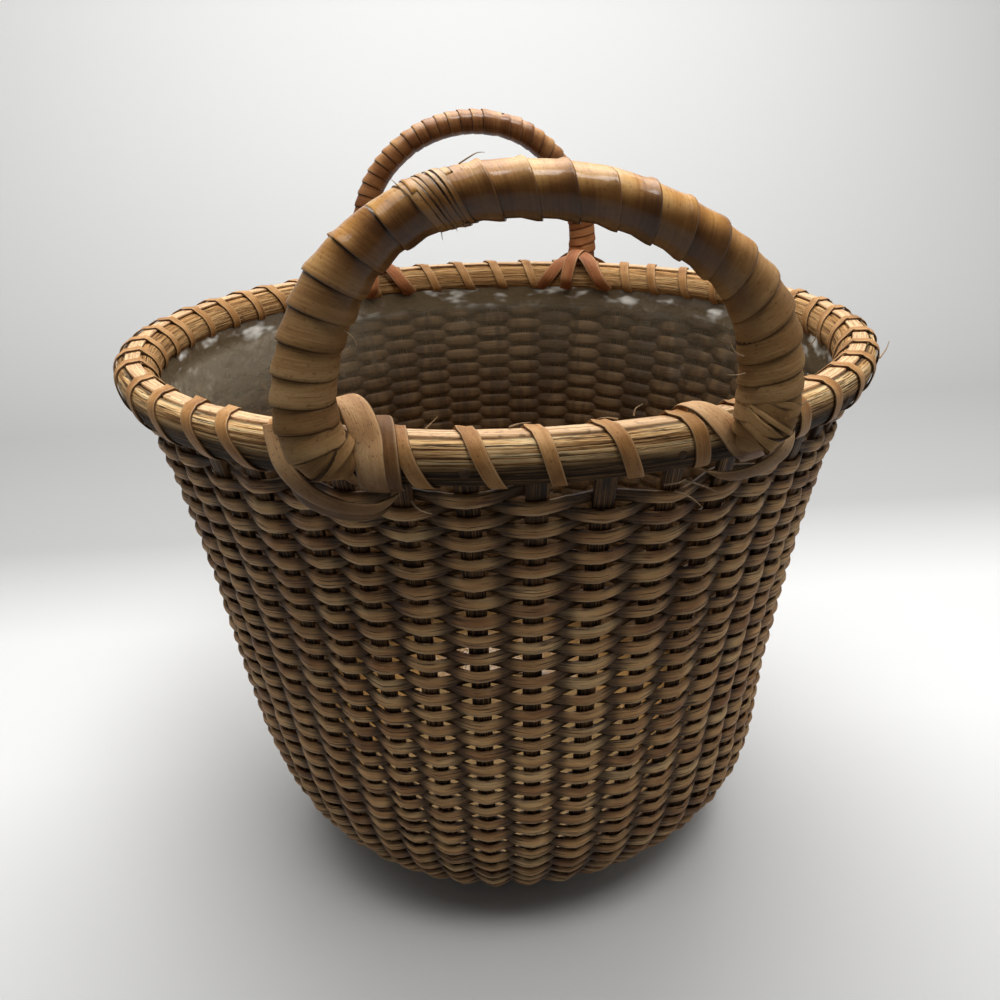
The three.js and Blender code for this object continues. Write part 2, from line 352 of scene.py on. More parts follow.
mouth = np.array([plate_radius + mouth_gap, groove_height])
tip_height = basket_height - cap_thickness - clearance
tip_up = (tip_height - rim_centre[1]) / rim_up[1] - stave_thickness / 2 * math.tan(rim_lean)
weave_top = rim_point(0, -outer_hoop_height / 2 - weave_drop)
wall_knots = [mouth, *(mouth + (weave_top - mouth) * share for share in wall_shares), weave_top]
wall_line = smooth_line(wall_knots, 24)
stave_foot = np.array([plate_radius - groove_depth + mouth_gap, groove_height])
stave_line = np.concatenate([stave_foot[None], wall_line, rim_point(0, tip_up)[None]])
stave_length = run_of(stave_line)[-1]
stave_run = np.concatenate([np.linspace(0, 6, 3), np.arange(9, stave_length, 3), [stave_length]])
stave_stations = taken(stave_line, stave_run)

rng = np.random.default_rng(47)
pitch = 2 * math.pi / stave_count
# how far each stave strays from its even place, in degrees; the front ones as they were set by hand
strays = rng.uniform(-0.45, 0.45, stave_count)
strays[:7] = [-0.3, 0.4, 1.3, 1.5, 1.6, 1.0, 0.4]
strays[-9:] = [0.3, 0.8, 1.3, 1.5, 1.5, 0.9, -0.3, -0.8, -0.8]
stave_angles = -math.pi / 2 + np.arange(stave_count) * pitch + np.radians(strays)
for i, angle in enumerate(stave_angles):
    share = stave_run / stave_length
    width = (stave_foot_width + (stave_tip_width - stave_foot_width) * share) * rng.uniform(0.95, 1.03)
    wander = 0.35 * np.sin(share * rng.uniform(5, 9) + rng.uniform(0, 6)) * np.minimum(1, share * 6)
    angles = angle + wander / stave_stations[:, 0]
    spine = round_at(angles, stave_stations)
    face = faced_round(angles, outwards(np.gradient(stave_stations, axis=0)))
    section = oval(width, stave_thickness, 12, 3.2)
    name = f"stave_{i + 1:02d}"
    stave = cane("split_" + name, spine, face, section, stave_finish, 7.3 * i)
    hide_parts(name)


# Weave. One flat oval cane, over a stave and under the next, spirals from the plate to the rim; the odd
# number of staves makes each row pass the other way round from the row below. It was laid on in six lengths.
strand_width, strand_thickness, strand_squareness = 4.1, 1.7, 2.3
strand_pinch = 0.15  # how much narrower it is where it crosses from outside to inside
strand_swing, swing_spread = 2.3, 0.1  # how far it swings out from the middle of the staves, and how unevenly
row_rise = 3.24
first_row = 2.6  # from the plate's edge to the middle of the first row, along the staves
row_room = 1.4  # the least from the middle of a row to either end of the wall
strand_steps, wobble_steps = 7, 18
lengths = 6
# where the last rows of the front were pushed up: degrees from the front, how far beside it, and how much
pushes = [(3, 8, 3.2), (27, 7, 2.4), (-27, 6, 2), (-9, 6, 1.2), (14, 6, 1.2)]


def between(values, at):
    """The values at places counted from 0, evenly on the way from one to the next."""
    return np.interp(at, np.arange(len(values)), values)


def ahead_on(line, at, step):
    """Which way the line runs at those distances along it."""
    return unit(taken(line, at + step) - taken(line, at - step))


strand_skin = Finish("strand_skin")
fibres = strand_skin.grain((0.06, 1.5, 1), 5.0, 0.7)
patches = strand_skin.grain((0.03, 0.12, 1), 2.0)
specks = strand_skin.grain((0.5, 1.4, 1))
upper, out_side, over_stave = (strand_skin.form(part) for part in range(3))
# the strand's colour: its own wear, with painted highlight and painted shade laid over it below
wear_and_painted_light = patches.rising(0.3, 0.7).toned((150, 102, 60), (194, 144, 92), (218, 170, 112), (232, 192, 136))
wear_and_painted_light = wear_and_painted_light.dyed((62, 39, 23), (fibres + 0.05 * over_stave).rising(0.54, 0.4))
# painted highlight along the lower edge of a strand where it swings out over a stave; the pale specks are the
# cane's own
lit_edge = upper.rising(-0.2, -0.8) * 0.6 * over_stave.rising(0.2, 0.9) * fibres.rising(0.3, 0.6)
wear_and_painted_light = wear_and_painted_light.dyed((238, 206, 162), lit_edge + specks.rising(0.56, 0.8) * 0.3)
# painted shade along the upper edge of each strand, under the row above, with some dirt
wear_and_painted_light = wear_and_painted_light.dyed((48, 30, 18), upper.rising(0.2, 1.0) * 0.55)
# painted shade, with some dirt, where a strand dives behind the next one, and all over its inner side
wear_and_painted_light = wear_and_painted_light.dyed((42, 27, 16), over_stave.rising(0.8, 0.1) * 0.78)
ribbed = strand_skin.noise(strand_skin.places(), (110, 110, 3), 2.0, 0.6).rising(0.4, 0.62)
ribbed = ribbed * (0.35 + 0.65 * over_stave.rising(0.0, -0.8))
inner = ribbed.toned((70, 50, 31), (122, 92, 58))
wear_and_painted_light = wear_and_painted_light.dyed(inner, out_side.rising(-0.2, -0.7) * 0.8)
strand_finish = strand_skin.surface(
    wear_and_painted_light, 0.42 + 0.3 * specks, fibres + 0.4 * specks, 0.45, Specular_IOR_Level=0.3
)

wall_top = run_of(wall_line)[-1]
weave_path = np.concatenate([wall_line, rim_point(0, -outer_hoop_height / 2)[None]])
rows = math.floor((wall_top - first_row - row_room) / row_rise)
stave_turn = np.arange(rows * stave_count * strand_steps + 1) / strand_steps
nearest = np.rint(stave_turn).astype(int)
off = stave_turn - nearest
crossings = nearest[-1] + 2
kink = rng.uniform(0.0, 0.6, crossings)[nearest]
crest = rng.normal(strand_swing, swing_spread, crossings)[nearest]
swung = (1 - kink) * np.cos(math.pi * off) + kink * (1 - 2 * np.abs(off))
swung *= np.where(nearest % 2, -1, 1)
whole = np.concatenate([stave_angles + 2 * math.pi * k for k in range(-1, rows + 2)])
strand_angles = between(whole, stave_turn + stave_count)
height = first_row + row_rise * stave_turn / stave_count
height += 0.45 * np.sin(3 * strand_angles + height / 31) + 0.3 * np.sin(8 * strand_angles - height / 19 + 1)
wobble = rng.normal(0, 0.14, len(stave_turn) // wobble_steps + 3)
height += between(wobble, stave_turn * strand_steps / wobble_steps)
# the last rows climb to the hoops, but at the front
behind = np.clip(0.6 + 0.7 * np.sin(strand_angles), 0, 1)
height += 3.4 * behind * np.clip(height / wall_top, 0, 1) ** 7
from_front = np.degrees((strand_angles + 1.5 * math.pi) % (2 * math.pi) - math.pi)
pushed = sum(most * np.exp(-(((from_front - place) / reach) ** 2)) for place, reach, most in pushes)
height += pushed * np.clip(height / wall_top, 0, 1) ** 12
height = np.clip(height, row_room, wall_top + 2.2 * behind + pushed - 1.0)
ahead = ahead_on(weave_path, height, 0.5)
outward = outwards(ahead)
lean = between(rng.normal(0.05, 0.1, crossings), stave_turn) * np.sign(swung)
grown = between(rng.uniform(0.93, 1.07, 200), stave_turn / 31)
strand_spine = round_at(strand_angles, taken(weave_path, height) + outward * (swung * crest)[:, None])
strand_face = faced_round(strand_angles, outward + ahead * lean[:, None])
strand_widths = (strand_width - strand_pinch * (1 - np.abs(np.cos(math.pi * off))) ** 1.5) * grown
beaten = np.clip(2 * np.sin(strand_angles) + 0.6, 0, 1)  # the rows behind are pressed together tighter
strand_widths += beaten * (0.7 + 0.9 * np.clip(-swung, 0, 1)) + 1.3 * np.clip((22 - height) / 12, 0, 1)
ends = np.linspace(0, len(stave_turn) - 1, lengths + 1).astype(int)
for i, (start, stop) in enumerate(zip(ends, ends[1:])):
    part = slice(start + (2 if i else 0), stop + 1)
    section = oval(strand_widths[part], strand_thickness, 8, strand_squareness)
    over = np.broadcast_to(swung[part][:, None], section.shape[:2])
    spine, face = strand_spine[part], strand_face[part]
    weaver = cane(f"weaver_{i + 1}", spine, face, section, strand_finish, 11.0 * i, bare=over)
    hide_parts("woven_wall")


# Rim hoops. Two split rattans bent to rings, flat side to the staves, one outside and one inside, nailed
# together through them. Their open grain runs round the rim; the lower half of the outer one is dark with
# soot and painted shade.
inner_hoop_height, inner_hoop_thickness = 11.0, 4.2
hoop_stations, hoop_squareness = 480, 2.3


def split_rattan(name, soot_and_shade_to, *colours):
    """Open streaks along the grain in those colours, dark below soot_and_shade_to, a share of the half
    height: soot, and painted shade on the side that faces down.
    """
    wood = Finish(name)
    streaks = wood.grain((0.022, 1.3, 1), 5.0, 0.75)
    pores = wood.grain((0.06, 3.2, 1), 3.0, 0.75)
    blotch = wood.grain((0.04, 0.1, 1), 2.0)
    sooty_and_shaded = ((streaks + pores) * 0.5).rising(0.42, 0.64).toned((12, 8, 5), (52, 35, 21), (156, 116, 74))
    golden = streaks.rising(0.34, 0.66).toned(*colours)
    # darker towards the lower edge: soot, and painted shade on the side that faces down
    low = (wood.form(0) + 0.7 * blotch - 1.1 * streaks).rising(soot_and_shade_to + 0.2, soot_and_shade_to - 0.3)
    colour = golden.dyed(sooty_and_shaded, low * 0.95)
    colour = colour.dyed((30, 19, 11), pores.rising(0.5, 0.37) * 0.9)
    # painted shade in the seam between its top edge and the strip that covers the rim
    colour = colour.dyed((34, 22, 13), wood.form(0).rising(0.978, 0.996) * 0.85)
    return wood.surface(colour, 0.55 + 0.3 * pores, streaks + 0.8 * pores, 0.8, Specular_IOR_Level=0.12)


def hoop(name, seat, thickness, height, middle, finish, node):
    """A half round ring whose flat face is at seat, from the middle of the staves; a thickness below 0
    turns it inwards."""
    wide, deep = rounded(np.linspace(0, math.pi, 17), hoop_squareness)
    section = np.stack([height / 2 * wide, abs(thickness) * deep], axis=-1)
    angles = circle(hoop_stations)
    wave = 1 + 0.025 * np.sin(angles * 5 + seat) + 0.015 * np.sin(angles * 11 + 2 * seat)
    section = section * np.stack([np.ones_like(wave), wave], axis=-1)[:, None]
    face = faced_round(angles, rim_out * np.sign(thickness))
    piece = cane(
        name, round_at(angles, rim_point(seat, middle)), face, section, finish, 8 + seat, True
    )
    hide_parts(node)


inner_hoop_middle = (
    tip_height - rim_centre[1] - hoop_seat * rim_up[0]
    - math.hypot(inner_hoop_thickness * rim_up[0], inner_hoop_height / 2 * rim_up[1])
) / rim_up[1]
outer_rattan = split_rattan(
    "outer_rattan", 0.06, (78, 48, 24), (190, 142, 88), (238, 196, 138), (252, 222, 170)
)
inner_rattan = split_rattan("inner_rattan", -1.6, (132, 92, 52), (196, 146, 90), (226, 184, 128))
hoop("hoop_outside", hoop_seat, outer_hoop_thickness, outer_hoop_height, 0.0, outer_rattan, "outer_hoop")
hoop(
    "hoop_inside", -hoop_seat, -inner_hoop_thickness, inner_hoop_height, inner_hoop_middle,
    inner_rattan, "inner_hoop",
)


# Rim cap. A flat strip of pale cane laid over the tips of the staves and the inner hoop. The lashing holds it
# down, and a dark open seam is left between it and the outer hoop.
cap_width, cap_seam = 4.6, 0.5
cap_outer = rim_point(hoop_seat, outer_hoop_height / 2)[0] - cap_seam
cap_skin = Finish("cap_skin")
cap_lines = cap_skin.grain((0.03, 2.4, 1), 3.0, 0.6)
cap_specks = cap_skin.grain((0.4, 1.0, 1))
cap_colour = cap_lines.rising(0.3, 0.68).toned((156, 114, 76), (214, 170, 122), (240, 204, 156))
cap_colour = cap_colour.dyed((104, 70, 46), cap_specks.rising(0.46, 0.3) * 0.7)
cap_finish = cap_skin.surface(cap_colour, 0.5 + 0.2 * cap_specks, cap_lines + 0.5 * cap_specks, 0.18)
angles = circle(hoop_stations)
cap_place = np.array([cap_outer - cap_width / 2, basket_height - cap_thickness / 2])
cap_sway = 0.12 * np.sin(13 * angles) + 0.1 * np.sin(29 * angles + 1)
cap_spine = round_at(angles, cap_place + np.stack([cap_sway, -np.abs(cap_sway) * 0.6], axis=-1))
cap_section = oval(cap_width, cap_thickness, 12, 4)
cap = cane("cap_strip", cap_spine, (0.0, 0.0, 1.0), cap_section, cap_finish, 9.0, True)
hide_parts("rim_cap")


# Nails. Small wrought nails through both hoops and a stave between them, their dark domed heads a little
# sunk into the outer hoop.
nail_radius, nail_height, nail_sunk, nail_corners = 1.45, 0.5, 0.15, 14
# places round the rim in degrees from the front, and how far above the middle of the hoop
nail_places = [
    (-8.2, -0.6), (15.3, -0.1), (-29.3, 0.6), (44, 0.3), (71, -0.4), (97, 0.2), (126, 0.5), (153, -0.3),
    (-55, 0.2), (-83, -0.5), (-108, 0.4), (-137, 0), (-166, 0.4),
]
# its rings, from the hoop to the crown: shares of the radius, and heights
nail_rings = [(1, -0.3), (1, 0.1), (0.8, 0.38), (0.42, nail_height)]
nail_iron = Finish("nail_iron")
rust = nail_iron.noise(nail_iron.places(), (900, 900, 900))
nail_finish = nail_iron.surface(
    rust.toned((24, 18, 14), (92, 68, 48)), 0.7, rust, 0.1, Specular_IOR_Level=0.15
)
for i, (degrees, up) in enumerate(nail_places):
    angle = math.radians(degrees - 90)
    share_up = abs(up / (outer_hoop_height / 2))
    depth = outer_hoop_thickness * (1 - share_up**hoop_squareness) ** (1 / hoop_squareness)
    middle = round_at(angle, rim_point(hoop_seat + depth - nail_sunk, up))
    out = faced_round(angle, rim_out)
    beside = np.array([-math.sin(angle), math.cos(angle), 0.0])
    over_it = np.cross(out, beside)
    corners = circle(nail_corners)
    uneven = nail_radius * (1 + 0.08 * np.sin(corners * 3 + i))
    points = [
        middle + share * radius * (math.cos(corner) * beside + math.sin(corner) * over_it) + height * out
        for share, height in nail_rings for corner, radius in zip(corners, uneven)
    ]
    points.append(middle + nail_height * 1.05 * out)
    rows = range(0, len(points) - 1, nail_corners)
    sides = [(j, (j + 1) % nail_corners) for j in range(nail_corners)]
    faces = [(a + j, a + k, b + k, b + j) for a, b in zip(rows, rows[1:]) for j, k in sides]
    faces += [(rows[-1] + j, rows[-1] + k, len(points) - 1) for j, k in sides]
    nail = smooth_piece(f"nail_{i + 1:02d}", points, faces, nail_finish)
    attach(nail, "root")


# Rim lashing. Flat binder cane, satin on its skin side, wound over hoops and cap and through the wall between
# two staves, one turn to each stave. It went on in two lengths, each pulled tight as it was wound.
lashing_width, lashing_thickness = 4.1, 0.62
lashing_stand_off = 0.12
lashing_steps = 48
first_lashing_turns = 24

wide, deep = rounded(np.linspace(0, math.pi, 33), hoop_squareness)
rim_outline = np.concatenate([
    rim_point(hoop_seat + outer_hoop_thickness * deep, outer_hoop_height / 2 * wide),
    rim_point(-hoop_seat - inner_hoop_thickness * deep, inner_hoop_middle + inner_hoop_height / 2 * wide),
    [[cap_outer - 0.2, basket_height], [cap_outer - cap_width + 0.3, basket_height]],
])


def girth(stand_off, share):
    """Places on a strand pulled tight round the rim's section, and the way out of it, at shares of a turn
    from its lowest place: the first half goes up the inside, the second down the outside."""
    turn = circle(720)
    way = np.stack([np.cos(turn), np.sin(turn)], axis=-1)
    line = rim_outline[(way @ rim_outline.T).argmax(axis=1)] + way * stand_off
    line = np.concatenate([line, line[:1]])
    line = taken(line, np.linspace(0, run_of(line)[-1], 721))[:-1]
    line = np.roll(line, -(line @ rim_up).argmin(), axis=0)[::-1]
    line = np.concatenate([line, line[:1]])
    at = np.mod(share, 1) * run_of(line)[-1]
    return taken(line, at), -outwards(ahead_on(line, at, 0.2))


def smoothed(values, bell, **ends):
    """Each value shared with those beside it by the weights of bell."""
    return np.convolve(np.pad(values, len(bell) // 2, **ends), bell / bell.sum(), "valid")


def binder_cane(name, *colours, under_shade=0.0):
    """The skin side of split cane: satin, with faint lines along it, specks, paler worn edges and painted
    shade at the very edges. Where it turns under the rim it is darker, a painted shade, by the share
    under_shade."""
    skin = Finish(name)
    lines = skin.grain((0.05, 2.6, 1), 3.0, 0.6)
    patches = skin.grain((0.06, 0.16, 1), 2.0)
    specks = skin.grain((0.9, 1.3, 1))
    from_middle = skin.form(0).size()
    colour = (patches * 0.7 + lines * 0.3).rising(0.3, 0.7).toned(*colours)
    colour = colour.dyed((96, 62, 36), specks.rising(0.44, 0.28) * 0.6)
    colour = colour.dyed((216, 178, 132), from_middle.rising(0.7, 0.95) * 0.4)
    # painted shade along the very edges of the strip
    colour = colour.dyed((60, 38, 20), from_middle.rising(0.92, 1.0) * 0.8)
    # painted shade where the strip turns under the rim, lower down
    height = skin.places().part(2) + 0.002 * patches
    colour = colour.dyed((62, 40, 22), height.rising(0.2075, 0.1975) * under_shade)
    return skin.surface(colour, 0.4 + 0.22 * specks, lines * 0.7 + specks, 0.14, Specular_IOR_Level=0.15)


lashing_finish = binder_cane("lashing_skin", (134, 90, 50), (172, 124, 74), (198, 152, 100))

# where each turn goes under the hoops, between two staves, and where it crosses the cap, over a stave; both
# in staves from the front, and for the turns in front in degrees
under = np.arange(stave_count + 1) - 0.5 + rng.uniform(-0.08, 0.08, stave_count + 1)
over = np.arange(stave_count) + rng.uniform(-0.15, 0.15, stave_count)
strays_at = np.interp(np.arange(-1, stave_count + 2), np.arange(stave_count), strays, period=stave_count)
under += np.interp(under, np.arange(-1, stave_count + 2), strays_at) / math.degrees(pitch)
over += np.interp(over, np.arange(-1, stave_count + 2), strays_at) / math.degrees(pitch)
front_under = {0: -4.0, 1: 2.4, 2: 11.1, 3: 19.0, stave_count - 1: -12.0}
front_over = {0: -0.4, 1: 7.3, 2: 16.3, stave_count - 2: -15.3, stave_count - 1: -7.8}
for places, degrees_at in ((under, front_under), (over, front_over)):
    for k, degrees in degrees_at.items():
        places[k] = degrees / math.degrees(pitch) + (stave_count if k > stave_count / 2 else 0)
under[stave_count] = under[0] + stave_count
knots = np.append(np.stack([under[:-1], over], axis=-1).reshape(-1), under[-1])
knot_turns = np.append(np.add.outer(np.arange(stave_count), [0, 0.52]).reshape(-1), stave_count)
for side, first, last in (("right", 0, first_lashing_turns), ("left", first_lashing_turns, stave_count)):
    turns = np.arange(first * lashing_steps, last * lashing_steps - 2) / lashing_steps
    place, way = girth(lashing_stand_off + lashing_thickness / 2, turns)
    staves_round = np.interp(turns, knot_turns, knots)
    staves_round = smoothed(staves_round, np.hanning(15), mode="reflect", reflect_type="odd")
    angles = -math.pi / 2 + staves_round * pitch
    widths = lashing_width * between(rng.uniform(0.88, 1.08, stave_count + 1), turns)
    section = oval(widths, lashing_thickness, 12, 4.5)
    spine, face = round_at(angles, place), faced_round(angles, way)
    node = "rim_lashing_" + side
    lashing = cane("lashing_" + side, spine, face, section, lashing_finish, float(first))
    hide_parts(node)


# Handles. Two bent rattan poles whose tapered ends are tucked against the lashed rim, each wrapped with broad
# cane from both feet up, every turn lying over the edge of the one before, until the two wrappings meet.
wrap_thickness, wrap_width = 0.42, 9.0
wrap_gap = 0.12  # between the pole and the cane
wrap_start = 1.2  # from the pole's end to the middle of the first turn
wrap_overlap = 3.6  # the most that a turn lies over the next
shoulder = (22, 56)  # how far up its leg the turns change from the foot's pitch to the top's
lip_height, lip_length = 1.35, 1.8  # of a turn's edge over the one below: in thicknesses, and in mm
wrap_turns, wrap_steps = 40, 30  # more turns than any handle needs, and points in a turn
pole_inset = 0.65  # how much nearer to the basket a pole stands than the middle of its box
taper, tip_radius = 9.0, 3.0  # how far from its end a pole is thinned, and to what
# each arch as it stands, seen from the front, from its left foot to its right one: across and up
arches = {
    "front": [
        (-53, 216.6), (-52.6, 223), (-50.4, 231.6), (-47, 239.6), (-42.5, 246.8), (-37, 252.6),
        (-30.4, 257.2), (-23.1, 260.4), (-15.6, 262.2), (-8, 262.9), (0, 262.7), (6.8, 262), (13.8, 260.7),
        (21.2, 258.2), (28.7, 254.8), (36.2, 250.2), (43.4, 244), (48.9, 236.2), (51.9, 227), (53.1, 217.4),
    ],
    "back": [
        (-52.6, 215), (-52.2, 226), (-50.6, 236), (-47.4, 245.2), (-42.2, 253.2), (-35.3, 260.2),
        (-27, 266.2), (-17.6, 270.6), (-7.4, 273.2), (3.3, 273.9), (13.9, 272.6), (23.8, 269.3),
        (32.7, 263.9), (40, 257.2), (45.7, 249.5), (50.2, 241), (53.2, 232), (54.4, 223), (54.9, 214.6),
    ],
}
# their tucked ends: across, towards the rim, and up
tucked = {
    ("front", -1): [(-46.2, 3, 203.4), (-49.6, 1.3, 207), (-52.2, 0.2, 211.6)],
    ("front", 1): [(50.2, 2.8, 204.8), (51.8, 1.2, 208), (52.8, 0.2, 212.2)],
    ("back", -1): [(-46, 3, 203.6), (-49.4, 1.3, 207), (-52, 0.2, 210.8)],
    ("back", 1): [(48, 3, 203.6), (51.4, 1.3, 207), (54, 0.2, 210.6)],
}
# how thick: the pole's radius at its legs and over the top, how far up each leg it keeps that, and how far
# further it takes to thin
pole_sizes = {"front": (6.15, 5.2, (45, 26), 18), "back": (5.3, 4.5, (20, 20), 24)}

pole_wood = Finish("pole_wood")
pole_grain = pole_wood.grain((0.05, 1.5, 1), 3.0)
pole_finish = pole_wood.surface(
    pole_grain.toned((70, 48, 28), (128, 92, 54), (160, 120, 74)), 0.6, pole_grain, 0.3
)


def wrap_cane(name, *colours):
    """Broad cane, with painted shade along the seam where the next turn covers it. Three colours are for its
    matt legs, three for its top, which hands have polished, darker also as painted shade on its front and
    underside, and three for the upper side there, painted paler as if lit from above."""
    skin = Finish(name)
    lines = skin.grain((0.05, 1.9, 1), 4.0, 0.6)
    patches = skin.grain((0.035, 0.1, 1))
    specks = skin.grain((0.8, 1.2, 1))
    polished = skin.places().part(2).rising(0.23, 0.258)
    tone = (patches * 0.75 + lines * 0.25).rising(0.3, 0.7)
    matt, held_and_shaded, pale = (tone.toned(*colours[k:k + 3]) for k in (0, 3, 6))
    # painted highlight: the top of the handle is paler where it faces up, darker on its front and underside
    held_and_shaded = held_and_shaded.dyed(pale, skin.stored("upper_side").rising(0.1, 0.9))
    colour = matt.dyed(held_and_shaded, polished)
    colour = colour.dyed((84, 52, 26), specks.rising(0.44, 0.28) * 0.5)
    # painted shade along the seam under the edge of the next turn
    colour = colour.dyed((36, 22, 12), skin.form(2).rising(0.6, 0.1) * 0.85)
    return skin.surface(
        colour, 0.62 - 0.26 * polished + 0.24 * specks, (lines + specks) * 0.6, 0.14,
        Coat_Weight=0.6 * polished, Coat_Roughness=0.14, Specular_IOR_Level=0.12,
    )


def pole_line(place, plane):
    """The middle of a pole that stands in that plane."""
    in_way = -np.sign(plane)
    left, right = ([(x, y * in_way, z) for x, y, z in tucked[place, side]] for side in (-1, 1))
    knots = [*left, *((x, 0.0, z) for x, z in arches[place]), *right[::-1]]
    return smooth_line(knots, 10) + [0, plane, 0]


def pole_radii(place, run, whole):
    """How thick a pole is at those distances along it."""
    leg, top, kept, thinning = pole_sizes[place]
    left = np.interp(run, [kept[0], kept[0] + thinning], [leg, top])
    right = np.interp(whole - run, [kept[1], kept[1] + thinning], [leg, top])
    t = np.clip(np.minimum(run, whole - run) / taper, 0, 1)
    return tip_radius + (np.maximum(left, right) - tip_radius) * t * (2 - t)


def keep_upper_side(piece, radial):
    """Keep at each point of a wound strip how far up it faces."""
    keep(piece, "upper_side", np.repeat(radial[:, 2], len(piece.data.vertices) // len(radial)))


def wrapping(name, line, radii, pitches, stop, finish, node, seed):
    """A broad cane wound up a pole from the line's first end, as far as the share stop. The pitches are how
    far apart its turns are at the foot and over the top."""
    run = run_of(line)
    whole = run[-1]
    spins = np.random.default_rng(seed)
    uneven = spins.uniform(0.9, 1.1, wrap_turns)
    starts = [wrap_start]
    for share in uneven[1:]:
        from_end = min(starts[-1], whole - starts[-1])
        starts.append(starts[-1] + np.interp(from_end, shoulder, pitches) * share)
    count = np.interp(stop * whole, starts, np.arange(wrap_turns))
    spun = np.arange(0, count, 1 / wrap_steps)
    at = between(starts, spun)
    width = np.minimum(wrap_width, between(np.diff(starts), spun - 0.5) + wrap_overlap)
    width *= between(spins.uniform(0.96, 1.06, wrap_turns), spun)
    heading = ahead_on(line, at, 0.4)
    square = square_to(heading, (0.0, np.sign(line[0, 1]), 0.0))
    turn = (2 * math.pi * spun)[:, None]
    radial = np.cross(square, heading) * np.cos(turn) + square * np.sin(turn)
    radius = np.interp(at, run, radii) + wrap_gap + wrap_thickness / 2
    spine = taken(line, at) + radial * radius[:, None]
    # how far a turn reaches over each of the three before it, and how much of it the next one leaves bare
    shared = {}
    for other_turn in (-3, -2, -1, 1):
        other = spread(spun + other_turn, spun, spine)
        other_width = np.interp(spun + other_turn, spun, width)
        reach = (other_width + width) / 2 - np.linalg.norm(other - spine, axis=-1)
        shared[other_turn] = np.where((spun < -other_turn) | (spun > spun[-1] - other_turn), 0, reach)
    section = oval(width, wrap_thickness, 14, 4.5)
    across = section[..., 0]
    from_foot = across + width[:, None] / 2
    # the cane follows the bend and the narrowing of the pole along its own width too
    bends = np.gradient(unit(np.gradient(line, axis=0)), run, axis=0)
    bends = np.stack([smoothed(part, np.ones(13), mode="edge") for part in bends.T], axis=-1)
    bend = (spread(at, run, bends) * radial).sum(-1)
    bend /= np.maximum(1 - radius * bend, 0.5)
    narrowing = np.interp(at, run, np.gradient(radii, run))
    section[..., 1] += narrowing[:, None] * across + bend[:, None] * across**2 / 2
    for earlier in (-1, -2, -3):
        laid = np.clip((from_foot - shared[earlier][:, None]) / lip_length + 0.1, 0, 1)
        over_it = (1 - laid * laid * (3 - 2 * laid)) * (shared[earlier] > 0)[:, None]
        section[..., 1] += lip_height * wrap_thickness * over_it
    # how much of each turn the next leaves bare; the finish paints shade along the seam from it
    bare = (width - shared[1])[:, None] - from_foot
    piece = cane(name, spine, radial, section, finish, float(seed), bare=bare)
    keep_upper_side(piece, radial)
    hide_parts(node)


gold_cane = wrap_cane(
    "gold_cane", (118, 84, 50), (150, 114, 72), (176, 142, 98),
    (68, 40, 16), (96, 60, 25), (122, 82, 40),
    (150, 98, 42), (194, 138, 70), (222, 174, 106),
)
red_cane = wrap_cane(
    "red_cane", (118, 68, 38), (152, 96, 56), (178, 126, 80),
    (104, 62, 32), (132, 84, 46), (160, 114, 68),
    (150, 98, 56), (190, 136, 84), (214, 168, 112),
)
handles = {}
# for each handle: its finish, how far across the two wrappings meet, how far apart their turns are at the
# feet and over the top, and the number that their unevenness is drawn from
for place, finish, meeting, pitches, seed in (
    ("front", gold_cane, -20.5, (5.6, 8.3), 22), ("back", red_cane, 14.0, (4.6, 5.4), 20)
):
    low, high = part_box("handle_" + place)
    plane = (low.y + high.y) / 2 / mm
    plane -= pole_inset * np.sign(plane)
    line = pole_line(place, plane)
    run = run_of(line)
    radii = pole_radii(place, run, run[-1])
    seam_at = run[np.abs(line[:, 0] - meeting).argmin()]
    handles[place] = line, radii, seam_at
    section = oval(2 * radii, 2 * radii, 12, 2)
    pole = cane("pole_" + place, line, (0.0, np.sign(plane), 0.0), section, pole_finish, plane)
    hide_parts("handle_" + place)
    node = "handle_wrap_" + place
    share = seam_at / run[-1]
    wrapping(f"wrap_{place}_left", line, radii, pitches, share, finish, node, seed)
    pitches = pitches[0] - 0.6, pitches[1]
    wrapping(f"wrap_{place}_right", line[::-1], radii[::-1], pitches, 1 - share, finish, node, seed + 10)


# Foot bindings. The broad cane that ties each foot down: bands over the rim beside the leg, one across the
# other, and narrower slings that pass under the foot and end in a point tucked behind the weave.
band_thickness = 0.7
pale_band = binder_cane("pale_band", (176, 130, 86), (210, 162, 112), (226, 184, 134), under_shade=0.6)
worn_band = binder_cane("worn_band", (96, 64, 36), (126, 88, 52), (148, 108, 68), under_shade=0.5)
tan_band = binder_cane("tan_band", (128, 96, 64), (158, 124, 86), (176, 142, 102))
dark_band = binder_cane("dark_band", (86, 60, 38), (112, 82, 54), (132, 100, 68))


def tied(name, finish, widths, knots, middle=rim_centre, straight=-90.0, seed=0.0):
    """A strip through knots of (degrees from straight, radius, height), its skin side away from middle."""
    line = smooth_line(knots, 12)
    angles = np.radians(line[:, 0] + straight)
    share = run_of(round_at(angles, line[:, 1:]))
    widths = np.interp(share / share[-1], np.linspace(0, 1, len(widths)), widths)
    section = oval(widths, band_thickness, 12, 4.0)
    section[..., 1] += 0.05 * (1 - (section[..., 0] / widths[:, None] * 2) ** 2) * widths[:, None]
    face = faced_round(angles, line[:, 1:] - middle)
    return cane(name, round_at(angles, line[:, 1:]), face, section, finish, seed)


